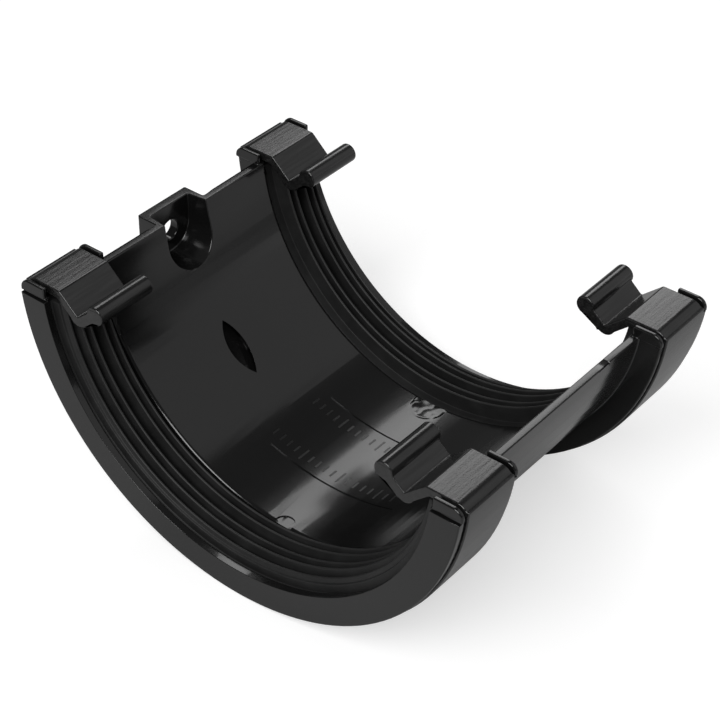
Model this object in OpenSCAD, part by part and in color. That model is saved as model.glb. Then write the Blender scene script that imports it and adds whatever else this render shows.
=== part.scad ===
// Snap-fit union for half-round rainwater gutter: a moulded trough that bridges two gutter ends,
// with a ribbed rubber seal and a snap-over retaining strap at each end.
// Y runs along the gutter, X runs across it (-X is the fascia side), +Z is up.
// The origin is below the middle of the trough, on the surface that the straps rest on.

/* [Trough] */
// Inner radius of the trough, which the gutter's outside lies against
channel_r = 57.2; // [50:0.1:70]
// Thickness of the trough wall
channel_t = 2.1; // [1.8:0.1:3]
// Distance from the middle of the union to each inner flange
channel_half = 28.8; // [24:0.1:60]
// How far the top edges lie below the axis of the half round
rim_drop = 6; // [4:0.5:10]

/* [Seal socket] */
// Depth of the seal pocket below the trough's inner face
pocket_depth = 3.4; // [3:0.1:5]
// Length of the seal pocket along the gutter
pocket_len = 16; // [15:0.1:24]
// Thickness of the web between trough and pocket
web_t = 2.1; // [1.8:0.1:4]
// Rounding where the trough runs into the pocket
web_round = 1.5; // [0.5:0.1:1.7]
// Thickness of the socket wall under the pocket
socket_t = 2.1; // [1.5:0.1:3]

/* [Flanges] */
// Thickness of the end flange
end_flange_t = 2.1; // [1.5:0.1:4]
// Thickness of the inner flange
inner_flange_t = 1.1; // [0.8:0.1:1.7]
// How far the strap stands proud of the flanges
strap_proud = 0.5; // [0:0.1:1.2]
// How far the end flange's mouth is opened up past the trough radius
mouth_relief = 0.3; // [0:0.1:1.5]
// Height of the ears that fence in each strap
ear_h = 3.1; // [2:0.1:5]
// Rounding of each ear's outer top corner
ear_round = 2.5; // [1:0.1:3]
// Thickness of an ear
ear_t = 1.2; // [0.8:0.1:1.8]
// Gap between an ear and the edge of the strap beside it
ear_gap = 0.8; // [0.5:0.1:1]
// How far an ear's foot lies below the top edge
ear_foot = 0.3; // [0.1:0.1:0.6]
// Height of the slot below each ear, in the end flange's outer face
slot_h = 0.5; // [0.3:0.1:1]
// Depth of that slot
slot_depth = 1; // [0.6:0.1:1.4]

/* [Strap] */
// Thickness of the strap's half-round band
strap_t = 2.8; // [2:0.1:4]
// Gap between strap and socket, and under the caps
strap_gap = 0.3; // [0.2:0.05:0.6]
// Gap between each edge of the strap and the flange beside it
strap_side_gap = 0.35; // [0.2:0.05:0.8]
// Depth of the flat trimmed at the strap's lowest point, on which the union stands
flat_depth = 0.12; // [0.08:0.01:0.3]
// Width of the cap that closes over the rim, measured across the gutter
cap_w = 12.3; // [10:0.1:14]
// Thickness of the cap and of the leg that falls from it
cap_t = 2.4; // [2:0.1:3.2]
// Rounding of the cap's outer corner
cap_round = 3.2; // [2:0.1:4]

/* [Snap tongue] */
// Reach from the cap's inner edge to the inner corner of the tongue's vee
vee_reach = 4.8; // [4:0.1:8]
// Drop from the cap's top to the inner corner of the vee
vee_drop = 5.05; // [4:0.05:8]
// Thickness at the bottom of the vee
vee_t = 2.65; // [1.8:0.05:3.4]
// Thickness of the leg that rises to the bead
rise_t = 3; // [2:0.1:3.6]
// Reach from the cap's inner edge to the middle of the bead
bead_reach = 10.65; // [9:0.05:14]
// Drop from the cap's top to the middle of the bead
bead_drop = 2.05; // [1:0.05:4]
// Radius of the bead along the tongue's free edge
bead_r = 2.5; // [1.8:0.1:3]
// How far the bead's middle lies below the upper face of the leg that rises to it
bead_sink = 1.5; // [0.5:0.1:2]
// How far the bead runs out past the strap's edge, at one end
bead_overhang = 1; // [0:0.1:1.5]

/* [Seal] */
// Clearance between the seal and its pocket
seal_gap = 0.15; // [0.05:0.05:0.4]
// Thickness of the seal's base
seal_t = 2.2; // [1.5:0.1:2.8]
// How far the seal's cut ends lie below the top edge
seal_drop = 1.7; // [1.2:0.1:4]
// How far the main ribs stand inside the trough radius
rib_squeeze = 3.4; // [1:0.1:4]
// How far the first rib, at the outer end, stands inside the trough radius
first_squeeze = 2.5; // [1:0.1:4]
// Thickness of a rib where it leaves the base
rib_root = 1.7; // [1.2:0.1:2]
// Thickness of a rib at its rounded tip
rib_tip = 0.7; // [0.4:0.1:1.1]
// How far a rib's tip leans towards the middle of the union
rib_lean = 0.5; // [0:0.1:0.8]
// Distance from the seal's outer edge to the tip of the first rib
rib_edge = 2; // [1.6:0.1:2.4]
// Distance from the seal's inner edge to the tip of the last rib
last_edge = 2.8; // [1.8:0.1:3.4]
// Width of the wide groove between the two groups of ribs, in rib spacings
groove_ratio = 1.5; // [1:0.1:2]
// How far the small outer lip stands inside the trough radius
lip_squeeze = 1.3; // [0.5:0.1:2]
// Thickness of the small outer lip
lip_t = 0.8; // [0.5:0.1:1]
// Distance from the seal's outer edge to the small outer lip
lip_edge = 0.7; // [0.2:0.1:1]

/* [Fixing pocket] */
// Width of the screw pocket at its back plate
fix_w = 13.6; // [12:0.1:18]
// How much wider the pocket is for each millimetre towards the trough
fix_draft = 0.12; // [0:0.01:0.2]
// Depth of the screw pocket behind the trough's inner radius
fix_depth = 5.4; // [4:0.1:8]
// Thickness of the pocket's back plate
plate_t = 2.8; // [2:0.1:4]
// Thickness of the pocket's side walls
fix_wall = 1.3; // [1.1:0.1:2.5]
// Drop from the top edge to the middle of the pocket's round end
fix_drop = 7.1; // [5:0.1:12]
// Diameter of the screw hole
screw_d = 5.6; // [4:0.1:8]
// Drop from the top edge to the middle of the screw hole
screw_drop = 7.7; // [5:0.1:12]

/* [Marks in the trough] */
// Distance of each insertion line from the middle
line_y = 12; // [8:0.1:20]
// Width of an insertion line
line_w = 0.5; // [0.3:0.1:1]
// Depth of the insertion lines and of the ejector marks
mark_depth = 0.3; // [0.1:0.05:0.5]
// Angle that each insertion line covers
line_sweep = 40; // [20:1:70]
// Radius of the ejector mark at the trough's near end
ejector_near_r = 2.6; // [2:0.1:6]
// Radius of the ejector mark at its far end
ejector_far_r = 5; // [2:0.1:6]
// Length of the lens-shaped recess, round the wall
lens_len = 16.1; // [10:0.1:20]
// Width of the lens-shaped recess, along the gutter
lens_w = 5.7; // [4:0.1:8]
// Depth of the lens-shaped recess
lens_depth = 1.2; // [0.5:0.1:1.4]
// Angle of the lens-shaped recess up the fascia side
lens_angle = 45; // [30:1:55]

/* [Hidden] */
$fn = 144;

// Margin by which a cutting tool runs past what it cuts
cut = 1;

// Radii, from the trough outwards
pocket_r = channel_r + pocket_depth;
socket_r = pocket_r + socket_t;
strap_in_r = socket_r + strap_gap;
strap_out_r = strap_in_r + strap_t;
flange_r = strap_out_r - strap_proud;
mouth_r = channel_r + mouth_relief;

// Places along the gutter, from the middle outwards
pocket_start = channel_half + web_t;
pocket_end = pocket_start + pocket_len;
end_y = pocket_end + end_flange_t;
strap_start = channel_half + inner_flange_t + strap_side_gap;
strap_end = pocket_end - strap_side_gap;
inner_ear_y = strap_start - ear_gap - ear_t;
end_ear_y = strap_end + ear_gap;

// The ribs of the seal: three in the outer group and two in the inner one
outer_ribs = 3;
inner_ribs = 2;
seal_start = pocket_start + seal_gap;
seal_end = pocket_end - seal_gap;
rib_pitch = (seal_end - seal_start - rib_edge - last_edge) / (outer_ribs + inner_ribs - 2 + groove_ratio);

// Heights, measured from the axis of the half round
rim_z = -rim_drop;
cap_bottom = rim_z + strap_gap;
cap_top = cap_bottom + cap_t;
vee_z = cap_top - vee_drop;
bead_z = cap_top - bead_drop;

// Places across the gutter
cap_inner = strap_out_r - cap_w;
cap_end = [cap_inner + cap_t / 2, cap_top - cap_t / 2];
vee_x = cap_inner - vee_reach;
bead_x = cap_inner - bead_reach;
plate_in = channel_r + fix_depth;
plate_out = plate_in + plate_t;

// Height of the half round's axis above the surface that the union rests on
axis_z = strap_out_r - flat_depth;

// A closed ring turned about the gutter's axis, from an outline drawn as radius and length
module turned_y() {
    rotate([-90, 0, 0]) rotate_extrude() children();
}

// The space below the top edge
module below_rim() {
    size = 2 * (strap_out_r + cut);
    length = 2 * (end_y + cut);
    translate([-size / 2, -length / 2, rim_z - size]) cube([size, length, size]);
}

// A plate that lies across the gutter, from an outline drawn as X and Z
module across(from_y, thickness) {
    translate([0, from_y + thickness, 0]) rotate([90, 0, 0]) linear_extrude(thickness) children();
}

// A rectangle whose upper right corner is round
module round_corner_2d(low, high, radius) {
    difference() {
        translate(low) square(high - low);
        translate(high - [radius, radius]) difference() {
            square(radius + cut);
            circle(radius);
        }
    }
}

// Half of the body's section, drawn as radius and length from the middle
module body_section_2d() {
    translate([channel_r, -cut]) square([channel_t, channel_half + cut + web_t - web_round]);
    difference() {
        translate([channel_r, channel_half]) square([socket_r - channel_r, web_t]);
        translate([channel_r, pocket_start - web_round]) difference() {
            translate([-cut, 0]) square([web_round + cut, web_round + cut]);
            translate([web_round, 0]) circle(web_round);
        }
    }
    translate([channel_r + channel_t / 2, channel_half])
        square([flange_r - channel_r - channel_t / 2, inner_flange_t]);
    translate([pocket_r, channel_half]) square([socket_t, pocket_end - channel_half + end_flange_t / 2]);
    translate([mouth_r, pocket_end]) square([flange_r - mouth_r, end_flange_t]);
}

// The front and back ears that stand on one flange
module ears(from_y) {
    for (side = [0, 1]) mirror([side, 0, 0]) across(from_y, ear_t)
        round_corner_2d([mouth_r, rim_z - ear_foot], [flange_r, rim_z - ear_foot + ear_h], ear_round);
}

// The steps at the feet of the ears in the end flange's outer face, with the slot below each
module ear_steps() {
    width = flange_r - mouth_r + 2 * cut;
    for (side = [0, 1]) mirror([side, 0, 0]) {
        translate([mouth_r - cut, end_ear_y + ear_t, rim_z - ear_foot - cut / 4])
            cube([width, end_y, ear_foot + cut]);
        translate([mouth_r - cut, end_y - slot_depth, rim_z - ear_foot - slot_h])
            cube([width, end_y, slot_h]);
    }
}

// The block that the screw pocket is cut into: a U, level with the top edge and square to the fascia
module fixing_block() {
    half_w = fix_w / 2 + fix_draft * fix_depth + fix_wall;
    middle_z = rim_z - fix_drop;
    inner_x = channel_r - fix_depth;
    intersection() {
        translate([-plate_out, 0, middle_z]) rotate([0, 90, 0])
            cylinder(r = half_w, h = plate_out - inner_x);
        below_rim();
    }
    translate([-plate_out, -half_w, middle_z]) cube([plate_out - inner_x, 2 * half_w, fix_drop]);
}

// The hollow of the screw pocket, which widens towards the trough and is open at the top
module fixing_hollow() {
    middle_z = rim_z - fix_drop;
    run = plate_in - channel_r / 2;
    back_w = fix_w / 2;
    front_w = back_w + fix_draft * run;
    translate([-plate_in, 0, middle_z]) rotate([0, 90, 0]) cylinder(r1 = back_w, r2 = front_w, h = run);
    translate([0, 0, middle_z]) linear_extrude(fix_drop + cut) polygon([
        [-plate_in, -back_w], [-plate_in + run, -front_w],
        [-plate_in + run, front_w], [-plate_in, back_w]
    ]);
}

// The screw hole through the back plate
module screw_hole() {
    translate([-plate_out - cut, 0, rim_z - screw_drop]) rotate([0, 90, 0])
        cylinder(d = screw_d, h = plate_t + 2 * cut);
}

// The blind lens-shaped recess in the fascia side of the trough
module lens_recess() {
    half_len = lens_len / 2;
    half_w = lens_w / 2;
    arc_r = (half_len * half_len + half_w * half_w) / (2 * half_w);
    intersection() {
        rotate([0, lens_angle, 0]) translate([0, 0, -channel_r - channel_t])
            linear_extrude(2 * channel_t) intersection() {
                translate([0, arc_r - half_w]) circle(arc_r);
                translate([0, half_w - arc_r]) circle(arc_r);
            }
        turned_y() translate([0, -half_w - cut]) square([channel_r + lens_depth, lens_w + 2 * cut]);
    }
}

// The two engraved lines that show how far each gutter end goes in
module insertion_lines() {
    for (side = [0, 1]) mirror([0, side, 0])
        rotate([-90, 0, 0]) rotate([0, 0, 90 - line_sweep / 2]) rotate_extrude(angle = line_sweep)
            translate([channel_r - cut, line_y - line_w / 2]) square([cut + mark_depth, line_w]);
}

// The shallow half-round ejector mark at each end of the trough's floor
module ejector_marks() {
    mark_y = pocket_start - web_round;
    intersection() {
        union() {
            translate([0, -mark_y, -pocket_r]) cylinder(r = ejector_near_r, h = pocket_r / 2);
            translate([0, mark_y, -pocket_r]) cylinder(r = ejector_far_r, h = pocket_r / 2);
        }
        turned_y() translate([0, -pocket_start]) square([channel_r + mark_depth, 2 * pocket_start]);
    }
}

// The moulded trough with its sockets, flanges, ears and screw pocket
module body() {
    color([0.11, 0.11, 0.11]) translate([0, 0, axis_z]) difference() {
        union() {
            intersection() {
                turned_y() union() {
                    body_section_2d();
                    mirror([0, 1]) body_section_2d();
                }
                below_rim();
            }
            for (side = [0, 1]) mirror([0, side, 0]) {
                ears(inner_ear_y);
                ears(end_ear_y);
            }
            difference() {
                fixing_block();
                turned_y() translate([0, -fix_w]) square([channel_r + channel_t / 2, 2 * fix_w]);
            }
        }
        for (side = [0, 1]) mirror([0, side, 0]) ear_steps();
        fixing_hollow();
        screw_hole();
        lens_recess();
        insertion_lines();
        ejector_marks();
    }
}

// One rib of the seal with its tip at tip_y, drawn as radius and length
module rib_2d(tip_y, root_r, tip_r) {
    tip_middle = tip_r + rib_tip / 2;
    root_y = tip_y + rib_lean;
    polygon([
        [tip_middle, tip_y - rib_tip / 2], [root_r, root_y - rib_root / 2],
        [root_r, root_y + rib_root / 2], [tip_middle, tip_y + rib_tip / 2]
    ]);
    translate([tip_middle, tip_y]) circle(d = rib_tip);
}

// The ribbed rubber seal, for the end of the union at +Y
module seal() {
    outer_r = pocket_r - seal_gap;
    base_r = outer_r - seal_t;
    root_r = base_r + rib_tip;
    rib_r = channel_r - rib_squeeze;
    first_y = seal_end - rib_edge;
    last_y = seal_start + last_edge;
    lip_r = channel_r - lip_squeeze;
    color([0.05, 0.05, 0.05]) translate([0, 0, axis_z]) intersection() {
        turned_y() union() {
            translate([base_r, seal_start]) square([seal_t, seal_end - seal_start]);
            rib_2d(first_y, root_r, channel_r - first_squeeze);
            for (i = [1 : outer_ribs - 1]) rib_2d(first_y - i * rib_pitch, root_r, rib_r);
            for (i = [0 : inner_ribs - 1]) rib_2d(last_y + i * rib_pitch, root_r, rib_r);
            translate([lip_r, seal_end - lip_edge - lip_t]) square([root_r - lip_r, lip_t]);
        }
        translate([0, 0, -seal_drop]) below_rim();
    }
}

// A line's end point, from its angle and length
function along(angle, length) = length * [cos(angle), sin(angle)];

// Half of the tongue's outline: a leg down from the cap, the bend of the vee and a leg up to the bead
module tongue_2d() {
    fall = cap_end - [vee_x, vee_z];
    rise = [bead_x - vee_x, bead_z - vee_z];
    fall_angle = atan2(fall[1], fall[0]) + asin(cap_t / 2 / norm(fall));
    rise_angle = atan2(rise[1], rise[0]) - asin(bead_sink / norm(rise));
    reach = 2 * vee_t;
    translate([vee_x, vee_z]) {
        rotate(fall_angle) translate([0, -cap_t]) square([sqrt(norm(fall) * norm(fall) - cap_t * cap_t / 4), cap_t]);
        rotate(rise_angle) square([norm(rise), rise_t]);
        difference() {
            circle(vee_t);
            polygon([[0, 0], along(fall_angle, reach), [0, reach], along(rise_angle, reach)]);
        }
    }
}

// Half of the strap's outline beyond the band, without the bead
module clip_2d() {
    band_x = sqrt(strap_out_r * strap_out_r - pow(cap_top - cap_round, 2));
    round_corner_2d([cap_end[0], cap_bottom], [band_x, cap_top], cap_round);
    translate(cap_end) circle(d = cap_t);
    tongue_2d();
}

// The outline of the strap: a half-round band that ends in a clip at the front and the back
module strap_2d() {
    intersection() {
        difference() {
            circle(strap_out_r);
            circle(strap_in_r);
        }
        translate([-strap_out_r - cut, -axis_z])
            square([2 * (strap_out_r + cut), axis_z + (cap_bottom + cap_top) / 2]);
    }
    for (side = [0, 1]) mirror([side, 0]) clip_2d();
}

// The snap-over retaining strap, for the end of the union at +Y
module strap() {
    color([0.13, 0.13, 0.13]) translate([0, 0, axis_z]) {
        across(strap_start, strap_end - strap_start) strap_2d();
        for (side = [0, 1]) mirror([side, 0, 0])
            across(strap_start, strap_end - strap_start + bead_overhang)
                translate([bead_x, bead_z]) circle(bead_r);
    }
}

body();
mirror([0, 1, 0]) seal();  // seal_near
seal();  // seal_far
translate([0, -strap_start - strap_end, 0]) strap();  // strap_near
strap();  // strap_far
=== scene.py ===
"""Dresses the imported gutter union: a half-round trough with its seals and snap-over straps."""

import logging
import math
from dataclasses import dataclass, field
from enum import Enum
from typing import Callable

import bmesh
import bpy
from mathutils import Matrix, Vector


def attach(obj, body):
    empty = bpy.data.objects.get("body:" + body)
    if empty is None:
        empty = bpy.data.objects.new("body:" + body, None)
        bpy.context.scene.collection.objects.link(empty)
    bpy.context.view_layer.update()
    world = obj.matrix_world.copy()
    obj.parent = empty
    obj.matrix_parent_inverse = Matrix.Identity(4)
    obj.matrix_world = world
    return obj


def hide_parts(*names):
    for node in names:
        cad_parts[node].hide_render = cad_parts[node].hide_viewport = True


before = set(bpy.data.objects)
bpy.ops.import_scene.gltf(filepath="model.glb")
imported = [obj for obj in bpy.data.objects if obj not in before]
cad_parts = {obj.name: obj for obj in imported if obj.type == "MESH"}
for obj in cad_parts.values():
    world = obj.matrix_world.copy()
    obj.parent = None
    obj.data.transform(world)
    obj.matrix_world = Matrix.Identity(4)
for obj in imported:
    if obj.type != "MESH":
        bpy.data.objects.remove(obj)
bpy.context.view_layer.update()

log = logging.getLogger("gutter_union")

MM = 0.001

MIX_FACTOR, MIX_LOW, MIX_HIGH = 0, 6, 7
MIX_COLOUR = 2

LOOSE_REACH = 0.001 * MM
FLAT_ANGLE = 0.002
SLICES_AT = (-12.0 * MM, -4.5 * MM, 0.0, 4.5 * MM, 12.0 * MM)
SLICE_TURN = 5


class End(Enum):
    """An end of the union, by its place along the gutter."""

    NEAR = "near"
    FAR = "far"


class Axis(Enum):
    """A direction that a grain runs in, as the scale of its pattern along X, Y and Z."""

    EVEN = (1.0, 1.0, 1.0)
    ALONG_GUTTER = (1.0, 0.06, 1.0)


@dataclass(frozen=True)
class Half:
    """The half round that the pieces are built on, in metres.

    Args:
        axis_z: Height of the half round's axis.
        radius: Inner radius of the trough.
        rim_z: Height of the trough's top edges.
        half_length: Distance from the middle to each inner flange.
    """

    axis_z: float = 65.68 * MM
    radius: float = 57.2 * MM
    rim_z: float = 59.68 * MM
    half_length: float = 28.8 * MM

    def reach_squared(self, x: "Term", z: "Term") -> "Term":
        """Gives a point's distance from the axis, squared.

        Args:
            x: Place across the gutter.
            z: Height.

        Returns:
            The distance, squared.
        """
        return x * x + (z - self.axis_z) * (z - self.axis_z)


HALF = Half()


class Term:
    """A socket's value in a shader expression, on which Python's operators add Math nodes."""

    def __init__(self, nodes: "Nodes", socket: bpy.types.NodeSocket) -> None:
        """Wraps a socket.

        Args:
            nodes: The tree that the socket is in.
            socket: The socket that gives the value.
        """
        self.nodes = nodes
        self.socket = socket

    def _math(self, operation: str, *values: "Term | float") -> "Term":
        """Adds a Math node.

        Args:
            operation: The node's operation.
            values: Its inputs, in order.

        Returns:
            The node's result.
        """
        return self.nodes.add("ShaderNodeMath", {"operation": operation}, dict(enumerate(values)))

    def __add__(self, other: "Term | float") -> "Term":
        """Returns the sum."""
        return self._math("ADD", self, other)

    __radd__ = __add__

    def __sub__(self, other: "Term | float") -> "Term":
        """Returns the difference."""
        return self._math("SUBTRACT", self, other)

    def __rsub__(self, other: "Term | float") -> "Term":
        """Returns the difference, with this value taken away."""
        return self._math("SUBTRACT", other, self)

    def __mul__(self, other: "Term | float") -> "Term":
        """Returns the product."""
        return self._math("MULTIPLY", self, other)

    __rmul__ = __mul__

    def __truediv__(self, other: "Term | float") -> "Term":
        """Returns the quotient."""
        return self._math("DIVIDE", self, other)

    def __abs__(self) -> "Term":
        """Returns the size without its sign."""
        return self._math("ABSOLUTE", self)

    def __lt__(self, other: "Term | float") -> "Term":
        """Returns 1 where the value is lower."""
        return self._math("LESS_THAN", self, other)

    def __gt__(self, other: "Term | float") -> "Term":
        """Returns 1 where the value is higher."""
        return self._math("GREATER_THAN", self, other)

    def fold(self, step: float) -> "Term":
        """Returns the value folded back and forth, with a low point at each multiple of twice the step."""
        return self._math("PINGPONG", self, step)

    def angle(self, other: "Term") -> "Term":
        """Returns the angle whose tangent is this value over the other."""
        return self._math("ARCTAN2", self, other)

    def within(self, centre: float, half_width: float) -> "Term":
        """Returns 1 where the value lies within a band."""
        return abs(self - centre) < half_width

    def soft(self, low: float, high: float) -> "Term":
        """Ramps the value from 0 at low to 1 at high, smoothly.

        Args:
            low: Where the ramp starts.
            high: Where it ends.

        Returns:
            The ramp's value.
        """
        return self.nodes.add(
            "ShaderNodeMapRange",
            {"interpolation_type": "SMOOTHSTEP"},
            {"Value": self, "From Min": low, "From Max": high},
        )


class Nodes:
    """The node tree of a material or a world, with one method that adds any node."""

    def __init__(self, owner: bpy.types.Material | bpy.types.World) -> None:
        """Empties the owner's tree.

        Args:
            owner: The material or the world.
        """
        self.owner = owner
        owner.use_nodes = True
        self.tree = owner.node_tree
        self.tree.nodes.clear()

    def add(
        self,
        kind: str,
        settings: dict[str, object] | None = None,
        inputs: dict[str | int, object] | None = None,
        output: str | int = 0,
    ) -> Term:
        """Adds a node, sets it and links it.

        Args:
            kind: The node's type.
            settings: The node's own settings, which are set first.
            inputs: Values or links of its sockets, by name or place.
            output: The socket that the result is read from.

        Returns:
            The node's output.
        """
        node = self.tree.nodes.new(kind)
        for key, value in (settings or {}).items():
            setattr(node, key, value)
        for key, value in (inputs or {}).items():
            if isinstance(value, Term):
                self.tree.links.new(value.socket, node.inputs[key])
            else:
                node.inputs[key].default_value = value
        return Term(self, node.outputs[output]) if node.outputs else Term(self, node.inputs[0])

    def place(self) -> tuple[Term, Term, Term, Term]:
        """Reads where a point of the object is.

        Returns:
            The place as a vector, and its X, Y and Z.
        """
        where = self.add("ShaderNodeTexCoord", output="Object")
        parts = self.add("ShaderNodeSeparateXYZ", {}, {"Vector": where})
        tree_node = parts.socket.node
        return where, *(Term(self, tree_node.outputs[i]) for i in range(3))

    def noise(self, where: Term, grain: Axis, scale: float, detail: float = 3.0) -> Term:
        """Adds a noise pattern.

        Args:
            where: The place that the pattern reads.
            grain: The direction that it is drawn out in.
            scale: Its scale, per metre.
            detail: Its detail.

        Returns:
            The pattern's value, from 0 to 1.
        """
        mapped = self.add("ShaderNodeMapping", {}, {"Vector": where, "Scale": grain.value})
        return self.add(
            "ShaderNodeTexNoise", {}, {"Vector": mapped, "Scale": scale, "Detail": detail}, "Fac"
        )

    def mix(self, factor: Term, low: tuple[float, float, float], high: tuple[float, float, float]) -> Term:
        """Mixes two colours.

        Args:
            factor: The share of the second colour.
            low: The first colour.
            high: The second colour.

        Returns:
            The mixed colour.
        """
        inputs = {MIX_FACTOR: factor, MIX_LOW: (*low, 1.0), MIX_HIGH: (*high, 1.0)}
        return self.add("ShaderNodeMix", {"data_type": "RGBA"}, inputs, MIX_COLOUR)

    def bump(self, depth: float, height: Term) -> Term:
        """Adds fine relief.

        Args:
            depth: Depth of a height of 1, in metres.
            height: The relief's height.

        Returns:
            The bent normal.
        """
        return self.add("ShaderNodeBump", {}, {"Strength": 1.0, "Distance": depth, "Height": height})

    def finish(self, inputs: dict[str | int, object]) -> bpy.types.Material:
        """Ends the tree with a surface.

        Args:
            inputs: Values or links of the surface's sockets.

        Returns:
            The material.
        """
        surface = self.add("ShaderNodeBsdfPrincipled", {}, inputs)
        self.add("ShaderNodeOutputMaterial", {}, {"Surface": surface})
        return self.owner


def grey(value: float) -> tuple[float, float, float]:
    """Returns a neutral colour."""
    return (value, value, value)


@dataclass(frozen=True)
class GlossPlastic:
    """Semi-gloss injection-moulded plastic of the trough.

    Args:
        dark: Darkest grey of the plastic.
        pale: Palest grey, in its slow clouds.
        sheen: Roughness of a smooth face.
        spread: How much the roughness varies.
        grain_depth: Depth of the fine moulded grain, in metres.
        tick_step: Half the spacing of the graduation ticks, as an angle.
        tick_half: Half the width of a tick, as an angle.
        ticks_at: Distance of the row of ticks from the middle.
        tick_tall: Half the height of a tick.
        tick_long: Half the height of every fifth tick.
        ticks_mid: Angle at the middle of the row.
        ticks_to: Angle that the row covers on each side of its middle.
        tick_skin: Depth into the wall past which there are no ticks.
        recess_turn: Angle of the lens-shaped recess in the rear wall.
        recess_span: Angle that the recess covers on each side of that.
        recess_half: Half the recess's width along the gutter.
        recess_skin: Depth into the wall past which a face is the recess's bottom.
        recess_tilt: Slope of the recess's bottom.
        scar_y: Place of the far ejector mark, at the bottom of the trough.
        scar_r: Radius of its uneven scar.
        scar_depth: Depth of the scar, as a multiple of the grain's depth.
    """

    dark: float = 0.004
    pale: float = 0.006
    sheen: float = 0.15
    spread: float = 0.06
    grain_depth: float = 0.00002
    tick_step: float = math.radians(1.2)
    tick_half: float = math.radians(0.28)
    ticks_at: float = 7.9 * MM
    tick_tall: float = 1.3 * MM
    tick_long: float = 2.1 * MM
    ticks_mid: float = math.radians(-2.0)
    ticks_to: float = math.radians(20.5)
    tick_skin: float = 0.4 * MM
    recess_turn: float = math.radians(-45.0)
    recess_span: float = math.radians(10.0)
    recess_half: float = 2.7 * MM
    recess_skin: float = 0.12 * MM
    recess_tilt: float = 0.8
    scar_y: float = 28.0 * MM
    scar_r: float = 5.0 * MM
    scar_depth: float = 70.0

    def ticks(self, x: Term, y: Term, z: Term) -> Term:
        """Marks plain graduation ticks beside each insertion line.

        Args:
            x: Place across the gutter.
            y: Place along the gutter.
            z: Height.

        Returns:
            1 on a tick and 0 beside it.
        """
        turn = x.angle(HALF.axis_z - z)
        short = abs(y).within(self.ticks_at, self.tick_tall) * (turn.fold(self.tick_step) < self.tick_half)
        long = abs(y).within(self.ticks_at, self.tick_long) * (turn.fold(5 * self.tick_step) < self.tick_half)
        inside = HALF.reach_squared(x, z) < (HALF.radius + self.tick_skin) ** 2
        return ((short + long) > 0.5) * turn.within(self.ticks_mid, self.ticks_to) * inside

    def recess(self, x: Term, y: Term, z: Term) -> Term:
        """Tilts the bottom of the lens-shaped recess, which is flat and looks down into the trough.

        Args:
            x: Place across the gutter.
            y: Place along the gutter.
            z: Height.

        Returns:
            The height to add, in metres.
        """
        turn = x.angle(HALF.axis_z - z)
        below = HALF.reach_squared(x, z) > (HALF.radius + self.recess_skin) ** 2
        here = below * y.within(0.0, self.recess_half) * turn.within(self.recess_turn, self.recess_span)
        middle = HALF.axis_z - HALF.radius * math.cos(self.recess_turn)
        return here * (z - middle) * self.recess_tilt

    def scar(self, nodes: Nodes, where: Term, x: Term, y: Term, z: Term) -> Term:
        """Roughens the far ejector mark.

        Args:
            nodes: The tree.
            where: The place as a vector.
            x: Place across the gutter.
            y: Place along the gutter.
            z: Height.

        Returns:
            The height to add, as a multiple of the grain's depth.
        """
        away = x * x + (y - self.scar_y) * (y - self.scar_y)
        at_bottom = z < HALF.axis_z - HALF.radius + 3 * MM
        here = away.soft(self.scar_r**2, (0.8 * self.scar_r) ** 2) * at_bottom
        folds = nodes.noise(where, Axis.EVEN, 190.0, 0.6)
        return here * (folds - 0.5) * self.scar_depth

    def material(self) -> bpy.types.Material:
        """Builds the material.

        Returns:
            The material.
        """
        nodes = Nodes(bpy.data.materials.new("black_gloss_plastic"))
        where, x, y, z = nodes.place()
        clouds = nodes.noise(where, Axis.EVEN, 40.0, 4.0)
        flow = nodes.noise(where, Axis.ALONG_GUTTER, 260.0, 2.0)
        grain = nodes.noise(where, Axis.EVEN, 2600.0, 2.0)
        tick = self.ticks(x, y, z)
        colour = nodes.mix(clouds * (1 - tick), grey(self.dark), grey(self.pale))
        rough = self.sheen + self.spread * (clouds * 0.6 + flow * 0.4 - 0.5) + 0.2 * tick
        relief = self.recess(x, y, z) / self.grain_depth + self.scar(nodes, where, x, y, z)
        height = grain * 0.25 + flow * 0.2 - tick * 9.0 + relief
        bump = nodes.bump(self.grain_depth, height)
        return nodes.finish({"Base Color": colour, "Roughness": rough, "Normal": bump})


@dataclass(frozen=True)
class SatinPlastic:
    """Satin injection-moulded plastic of the straps, with faint flow lines along the gutter.

    Args:
        dark: Darkest grey of the plastic.
        pale: Palest grey, in its flow lines.
        sheen: Roughness of a smooth face.
        spread: How much the roughness varies.
        grain_depth: Depth of the fine grain, in metres.
    """

    dark: float = 0.006
    pale: float = 0.014
    sheen: float = 0.2
    spread: float = 0.14
    grain_depth: float = 0.00003

    def material(self) -> bpy.types.Material:
        """Builds the material.

        Returns:
            The material.
        """
        nodes = Nodes(bpy.data.materials.new("satin_strap_plastic"))
        where, *_ = nodes.place()
        clouds = nodes.noise(where, Axis.EVEN, 90.0, 4.0)
        flow = nodes.noise(where, Axis.ALONG_GUTTER, 1300.0, 2.0)
        grain = nodes.noise(where, Axis.EVEN, 3200.0, 2.0)
        colour = nodes.mix(flow.soft(0.35, 0.7), grey(self.dark), grey(self.pale))
        rough = self.sheen + self.spread * (clouds * 0.5 + flow * 0.5 - 0.5)
        bump = nodes.bump(self.grain_depth, grain * 0.6 + flow * 0.8)
        return nodes.finish({"Base Color": colour, "Roughness": rough, "Normal": bump})


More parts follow.
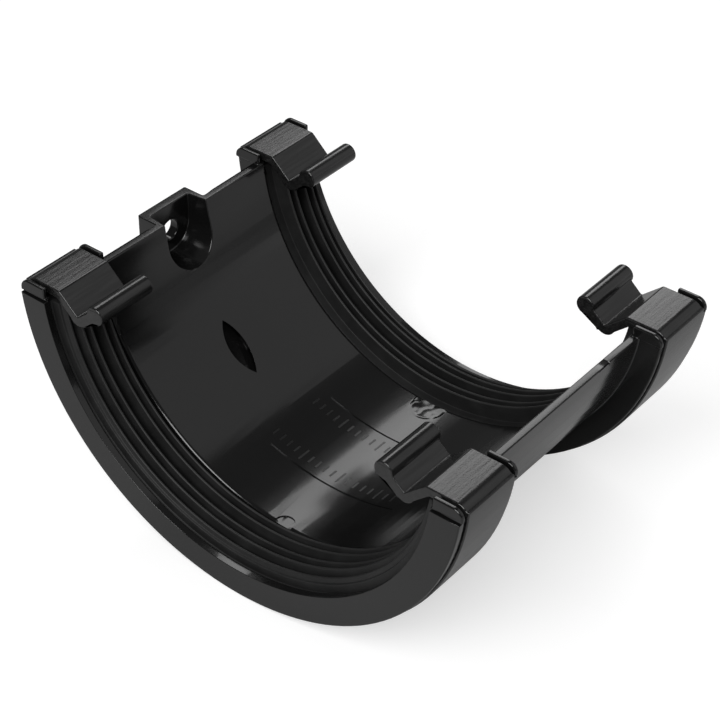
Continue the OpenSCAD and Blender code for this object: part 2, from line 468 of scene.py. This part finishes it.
@dataclass(frozen=True)
class SealRubber:
    """Soft black rubber of the seals, a little dusty on its ribs.

    Args:
        dark: Grey of clean rubber.
        pale: Grey of the faint bloom on it.
        sheen: Roughness.
        grain_depth: Depth of the fine skin, in metres.
    """

    dark: float = 0.005
    pale: float = 0.009
    sheen: float = 0.6
    grain_depth: float = 0.00004

    def material(self) -> bpy.types.Material:
        """Builds the material.

        Returns:
            The material.
        """
        nodes = Nodes(bpy.data.materials.new("seal_rubber_skin"))
        where, *_ = nodes.place()
        bloom = nodes.noise(where, Axis.EVEN, 160.0, 5.0)
        skin = nodes.noise(where, Axis.EVEN, 2400.0, 3.0)
        colour = nodes.mix(bloom.soft(0.35, 0.75), grey(self.dark), grey(self.pale))
        rough = self.sheen + 0.14 * (bloom - 0.5)
        bump = nodes.bump(self.grain_depth, skin)
        return nodes.finish({"Base Color": colour, "Roughness": rough, "Normal": bump})


def only(thing: bpy.types.Object) -> None:
    """Selects one object and nothing else, and makes it the active one."""
    bpy.ops.object.select_all(action="DESELECT")
    thing.hide_set(False)
    thing.select_set(True)
    bpy.context.view_layer.objects.active = thing


def copy_of(node: str, name: str) -> bpy.types.Object:
    """Makes a new piece from a copy of a CAD node's mesh, with its loose triangles merged.

    Args:
        node: The CAD node's name.
        name: The new piece's name.

    Returns:
        The piece, at the origin.
    """
    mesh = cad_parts[node].data.copy()
    mesh.name = name
    mesh.materials.clear()
    piece = bpy.data.objects.new(name, mesh)
    bpy.context.scene.collection.objects.link(piece)
    only(piece)
    bpy.ops.object.mode_set(mode="EDIT")
    bpy.ops.mesh.select_all(action="SELECT")
    bpy.ops.mesh.remove_doubles(threshold=LOOSE_REACH)
    bpy.ops.mesh.dissolve_limited(angle_limit=FLAT_ANGLE)
    bpy.ops.mesh.normals_make_consistent(inside=False)
    bpy.ops.object.mode_set(mode="OBJECT")
    return piece


def slice_round(piece: bpy.types.Object) -> None:
    """Cuts a piece's faces into short ones, so that none runs round the half round or along all of it."""
    only(piece)
    bpy.ops.object.mode_set(mode="EDIT")
    for place in SLICES_AT:
        bpy.ops.mesh.select_all(action="SELECT")
        bpy.ops.mesh.bisect(plane_co=(0.0, place, 0.0), plane_no=(0.0, 1.0, 0.0))
    for angle in range(-85, 86, SLICE_TURN):
        turn = math.radians(angle)
        facing = (math.cos(turn), 0.0, math.sin(turn))
        bpy.ops.mesh.select_all(action="SELECT")
        bpy.ops.mesh.bisect(plane_co=(0.0, 0.0, HALF.axis_z), plane_no=facing)
    bpy.ops.object.mode_set(mode="OBJECT")


def weigh_edges(piece: bpy.types.Object, choose: Callable[[Vector, Vector], float], sharp: float) -> int:
    """Marks a piece's sharp edges with a bevel weight.

    Args:
        piece: The piece.
        choose: Gives the weight of an edge from its middle and its direction.
        sharp: Angle between two faces past which their edge is sharp, in degrees.

    Returns:
        How many edges were marked.
    """
    mesh = bmesh.new()
    mesh.from_mesh(piece.data)
    layer = mesh.edges.layers.float.new("bevel_weight_edge")
    count = 0
    for edge in mesh.edges:
        if edge.is_manifold and edge.calc_face_angle() > math.radians(sharp):
            low, high = (corner.co for corner in edge.verts)
            edge[layer] = choose((low + high) / 2, (high - low).normalized())
            count += 1
    mesh.to_mesh(piece.data)
    mesh.free()
    return count


def cut_box(
    piece: bpy.types.Object, centre: tuple[float, float, float], size: tuple[float, float, float]
) -> None:
    """Cuts a plain box out of a piece.

    Args:
        piece: The piece.
        centre: The box's centre.
        size: Its size along X, Y and Z.
    """
    bpy.ops.object.select_all(action="DESELECT")
    bpy.ops.mesh.primitive_cube_add(size=1.0, location=centre, scale=size)
    tool = bpy.context.object
    only(piece)
    cut = piece.modifiers.new("cut", "BOOLEAN")
    cut.operation = "DIFFERENCE"
    cut.solver = "EXACT"
    cut.object = tool
    bpy.ops.object.modifier_apply(modifier=cut.name)
    only(tool)
    bpy.ops.object.delete()


def round_edges(piece: bpy.types.Object, width: float, segments: int) -> None:
    """Rounds a piece's weighted edges.

    Args:
        piece: The piece.
        width: Radius at full weight.
        segments: Segments of the rounding.
    """
    only(piece)
    bevel = piece.modifiers.new("rounding", "BEVEL")
    bevel.limit_method = "WEIGHT"
    bevel.width = width
    bevel.segments = segments
    bevel.use_clamp_overlap = False
    bevel.miter_outer = "MITER_ARC"
    bpy.ops.object.modifier_apply(modifier=bevel.name)


def tidy_mesh(piece: bpy.types.Object, reach: float) -> None:
    """Merges a piece's corners that lie within a tiny reach, and drops faces without area.

    Args:
        piece: The piece.
        reach: Distance up to which corners are merged.
    """
    only(piece)
    bpy.ops.object.mode_set(mode="EDIT")
    bpy.ops.mesh.select_all(action="SELECT")
    bpy.ops.mesh.remove_doubles(threshold=reach)
    bpy.ops.mesh.dissolve_degenerate(threshold=reach)
    bpy.ops.object.mode_set(mode="OBJECT")


def shade(piece: bpy.types.Object, angle: float) -> None:
    """Shades a piece smooth up to an angle in degrees, with flat faces kept flat."""
    only(piece)
    bpy.ops.object.shade_smooth_by_angle(angle=math.radians(angle))
    weighted = piece.modifiers.new("flat_faces", "WEIGHTED_NORMAL")
    weighted.keep_sharp = True
    bpy.ops.object.modifier_apply(modifier=weighted.name)


def dress(piece: bpy.types.Object, material: bpy.types.Material, node: str) -> None:
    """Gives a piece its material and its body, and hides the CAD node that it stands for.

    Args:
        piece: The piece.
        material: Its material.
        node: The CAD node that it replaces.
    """
    piece.data.materials.append(material)
    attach(piece, "root")
    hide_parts(node)


@dataclass
class Trough:
    """The moulded trough with its sockets, flanges, ears and screw pocket.

    Args:
        corner: Radius of the screw pocket's outer corners, and of the fillets at its foot.
        edge: Share of that radius on the other moulded edges.
        small: Share of that radius in the slots below the ears and round the end flanges' mouths.
        fine: Share of that radius on the small marks and on the webs beside the seals.
        block_half: Half the width of the screw pocket's block.
        block_drop: Depth below the rim at which the block's sides turn into its round foot.
        block_inside: Distance of the pocket's inner face behind the half round's axis.
        slot_from: Distance from the middle past which the slots below the ears are.
        slot_drop: Depth of the slots' middle below the rim.
        slit_y: Place of the narrow witness slit across the front wall's top edge.
        slit_width: Width of the slit.
        slit_depth: Depth of the slit.
        merge_reach: Distance up to which corners are merged after the rounding, so that the mesh is closed.
        finish: Its plastic.
    """

    corner: float = 0.8 * MM
    edge: float = 0.44
    small: float = 0.16
    fine: float = 0.02
    block_half: float = 8.75 * MM
    block_drop: float = 7.1 * MM
    block_inside: float = 62.6 * MM
    slot_from: float = 47.7 * MM
    slot_drop: float = 0.55 * MM
    slit_y: float = 16.5 * MM
    slit_width: float = 0.35 * MM
    slit_depth: float = 0.9 * MM
    merge_reach: float = 0.003 * MM
    finish: GlossPlastic = field(default_factory=GlossPlastic)

    def weight(self, middle: Vector, way: Vector) -> float:
        """Gives how round an edge is.

        Args:
            middle: The edge's middle.
            way: The edge's direction.

        Returns:
            The share of the full rounding.
        """
        reach = math.hypot(middle.x, middle.z - HALF.axis_z)
        on_wall = HALF.radius - 1.0 * MM < reach < HALF.radius + 1.6 * MM
        low = middle.z < HALF.rim_z - 20 * MM
        below_rim = middle.z < HALF.rim_z - 1 * MM
        beside_seal = 20 * MM < abs(middle.y) < HALF.half_length + 1.9 * MM and below_rim
        if middle.x > 0 and abs(middle.y - self.slit_y) < self.slit_width and middle.z > HALF.rim_z - 4 * MM:
            return 0.0
        if on_wall and (beside_seal or low and abs(middle.y) < 20 * MM):
            return self.fine
        below = max(0.0, HALF.rim_z - self.block_drop - middle.z)
        beside_block = abs(math.hypot(middle.y, below) - self.block_half) < 0.3 * MM
        upright = abs(way.x) < 0.3
        if beside_block and middle.x < -self.block_inside and upright and below_rim:
            return self.edge + (1 - self.edge) * (1.0 if below == 0 else (middle.y / self.block_half) ** 2)
        in_slot = abs(middle.z - HALF.rim_z + self.slot_drop) < 0.4 * MM
        in_mouth = reach < HALF.radius + 5 * MM and below_rim
        if abs(middle.y) > self.slot_from and (in_slot or in_mouth):
            return self.small
        round_pocket = on_wall and abs(middle.y) < self.block_half and below_rim
        return 0.6 * self.edge if round_pocket else self.edge

    def build(self) -> bpy.types.Object:
        """Builds and dresses the piece.

        Returns:
            The piece.
        """
        piece = copy_of("body", "trough")
        cut_box(
            piece,
            (HALF.radius + 1.5 * MM, self.slit_y, HALF.rim_z),
            (6 * MM, self.slit_width, 2 * self.slit_depth),
        )
        slice_round(piece)
        count = weigh_edges(piece, self.weight, 35.0)
        round_edges(piece, self.corner, 3)
        tidy_mesh(piece, self.merge_reach)
        shade(piece, 40.0)
        dress(piece, self.finish.material(), "body")
        log.info("trough: %d sharp edges rounded, %d faces", count, len(piece.data.polygons))
        return piece


@dataclass
class Seal:
    """A ribbed rubber seal.

    Args:
        end: The end of the union that it is at.
        rounding: Radius of its edges.
        finish: Its rubber; not used, since build takes the shared rubber as its argument.
    """

    end: End
    rounding: float = 0.15 * MM
    finish: SealRubber = field(default_factory=SealRubber)

    def build(self, material: bpy.types.Material) -> bpy.types.Object:
        """Builds and dresses the piece.

        Args:
            material: The rubber, shared by both seals.

        Returns:
            The piece.
        """
        node = f"seal_{self.end.value}"
        piece = copy_of(node, f"ribbed_{node}")
        slice_round(piece)
        count = weigh_edges(piece, lambda middle, way: 1.0, 50.0)
        round_edges(piece, self.rounding, 1)
        shade(piece, 35.0)
        dress(piece, material, node)
        log.info("%s seal: %d sharp edges rounded", self.end.value, count)
        return piece


@dataclass
class Strap:
    """A snap-over retaining strap with its caps and beaded tongues.

    Args:
        end: The end of the union that it is at.
        rounding: Radius of its edges.
        finish: Its plastic; not used, since build takes the shared plastic as its argument.
    """

    end: End
    rounding: float = 0.35 * MM
    finish: SatinPlastic = field(default_factory=SatinPlastic)

    def build(self, material: bpy.types.Material) -> bpy.types.Object:
        """Builds and dresses the piece.

        Args:
            material: The plastic, shared by both straps.

        Returns:
            The piece.
        """
        node = f"strap_{self.end.value}"
        piece = copy_of(node, f"snap_{node}")
        slice_round(piece)
        count = weigh_edges(piece, lambda middle, way: 1.0, 35.0)
        round_edges(piece, self.rounding, 3)
        shade(piece, 30.0)
        dress(piece, material, node)
        log.info("%s strap: %d sharp edges rounded", self.end.value, count)
        return piece


@dataclass(frozen=True)
class Softbox:
    """A soft area lamp that faces the union.

    Args:
        name: The lamp's name.
        towards: Direction from the union to the lamp.
        along: Direction that the lamp's width runs in.
        away: Distance of the lamp.
        width: Width of the lamp.
        height: Height of the lamp.
        power: Power in watts.
    """

    name: str
    towards: tuple[float, float, float]
    along: tuple[float, float, float]
    away: float
    width: float
    height: float
    power: float

    def build(self, target: Vector) -> None:
        """Hangs the lamp.

        Args:
            target: The point that it faces.
        """
        light = bpy.data.lights.new(self.name, "AREA")
        light.shape = "RECTANGLE"
        light.size = self.width
        light.size_y = self.height
        light.energy = self.power
        lamp = bpy.data.objects.new(self.name, light)
        back = Vector(self.towards).normalized()
        side = Vector(self.along) - Vector(self.along).dot(back) * back
        side.normalize()
        facing = Matrix((side, back.cross(side), back)).transposed().to_4x4()
        lamp.matrix_world = Matrix.Translation(target + back * self.away) @ facing
        bpy.context.scene.collection.objects.link(lamp)


@dataclass
class Studio:
    """The pale floor, the lamps, the world and the camera.

    Args:
        floor_half: Half the floor's side.
        floor_grey: The floor's colour.
        floor_glow: What the camera's own view of the floor is lifted by.
        world_grey: The world's strength on the object.
        azimuth: The camera's turn round the union, in degrees.
        elevation: Its height above the horizon, in degrees.
        roll: Its roll, in degrees.
        distance: Its distance from the point that it looks at.
        look_at: That point.
        lens: Focal length in millimetres, on a sensor 36 mm wide.
        boxes: The lamps.
    """

    floor_half: float = 6.0
    floor_grey: float = 0.55
    floor_glow: float = 0.56
    world_grey: float = 0.12
    azimuth: float = 38.3682
    elevation: float = 37.8675
    roll: float = 0.7543
    distance: float = 0.4906866
    look_at: tuple[float, float, float] = (-0.0005536, 0.0, 0.0407794)
    lens: float = 101.0585
    boxes: tuple[Softbox, ...] = (
        Softbox("back_left_softbox", (-0.47, 0.62, 0.63), (-0.83, 0.0, -0.56), 1.3, 0.36, 0.9, 3.4),
        Softbox("back_right_softbox", (0.56, 0.62, 0.54), (0.71, 0.0, -0.71), 1.3, 1.35, 1.2, 2.3),
        Softbox("horizon_softbox", (0.78, 0.62, 0.06), (0.62, -0.78, 0.0), 1.5, 1.4, 0.2, 0.24),
        Softbox("front_softbox", (0.3, -0.9, 1.0), (1.0, 0.0, 0.0), 1.6, 1.2, 0.9, 26.0),
    )

    def floor(self) -> None:
        """Lays the floor."""
        bpy.ops.object.select_all(action="DESELECT")
        bpy.ops.mesh.primitive_plane_add(size=2 * self.floor_half, location=(0, 0, -0.0001))
        floor = bpy.context.object
        floor.name = "floor"
        nodes = Nodes(bpy.data.materials.new("pale_floor"))
        where, *_ = nodes.place()
        clouds = nodes.noise(where, Axis.EVEN, 3.0)
        colour = nodes.mix(clouds, grey(self.floor_grey), grey(self.floor_grey + 0.02))
        seen = nodes.add("ShaderNodeLightPath", output="Is Camera Ray")
        glow = nodes.mix(seen, grey(0.0), grey(self.floor_glow))
        surface = {"Base Color": colour, "Roughness": 0.8, "Emission Color": glow, "Emission Strength": 1.0}
        floor.data.materials.append(nodes.finish(surface))

    def world(self) -> None:
        """Lights the world, which the camera sees as white."""
        world = bpy.data.worlds.new("pale_room")
        bpy.context.scene.world = world
        nodes = Nodes(world)
        seen = nodes.add("ShaderNodeLightPath", output="Is Camera Ray")
        room, white = (
            nodes.add("ShaderNodeBackground", {}, {"Color": (*grey(1.0), 1.0), "Strength": strength})
            for strength in (self.world_grey, 1.0)
        )
        mixed = nodes.add("ShaderNodeMixShader", {}, {0: seen, 1: room, 2: white})
        nodes.add("ShaderNodeOutputWorld", {}, {"Surface": mixed})

    def camera(self) -> None:
        """Sets the camera at the photograph's angle."""
        turn, lift, roll = (math.radians(v) for v in (self.azimuth, self.elevation, self.roll))
        ahead = Vector((-math.sin(turn) * math.cos(lift), math.cos(turn) * math.cos(lift), -math.sin(lift)))
        right = Vector((math.cos(turn), math.sin(turn), 0.0))
        up = right.cross(ahead)
        across = math.cos(roll) * right + math.sin(roll) * up
        upright = -math.sin(roll) * right + math.cos(roll) * up
        data = bpy.data.cameras.new("photo_camera")
        data.sensor_width = 36.0
        data.lens = self.lens
        data.clip_start = 0.01
        camera = bpy.data.objects.new("photo_camera", data)
        facing = Matrix((across, upright, -ahead)).transposed().to_4x4()
        camera.matrix_world = Matrix.Translation(Vector(self.look_at) - self.distance * ahead) @ facing
        bpy.context.scene.collection.objects.link(camera)
        bpy.context.scene.camera = camera

    def build(self) -> None:
        """Sets up the studio."""
        self.floor()
        self.world()
        for box in self.boxes:
            box.build(Vector(self.look_at))
        self.camera()
        bpy.context.scene.view_settings.view_transform = "Standard"


def main() -> None:
    """Builds the union's pieces and the studio."""
    logging.basicConfig(level=logging.INFO, format="%(name)s: %(message)s")
    Studio().build()
    Trough().build()
    rubber = SealRubber().material()
    plastic = SatinPlastic().material()
    for end in End:
        Seal(end).build(rubber)
        Strap(end).build(plastic)


if __name__ == "__main__":
    main()
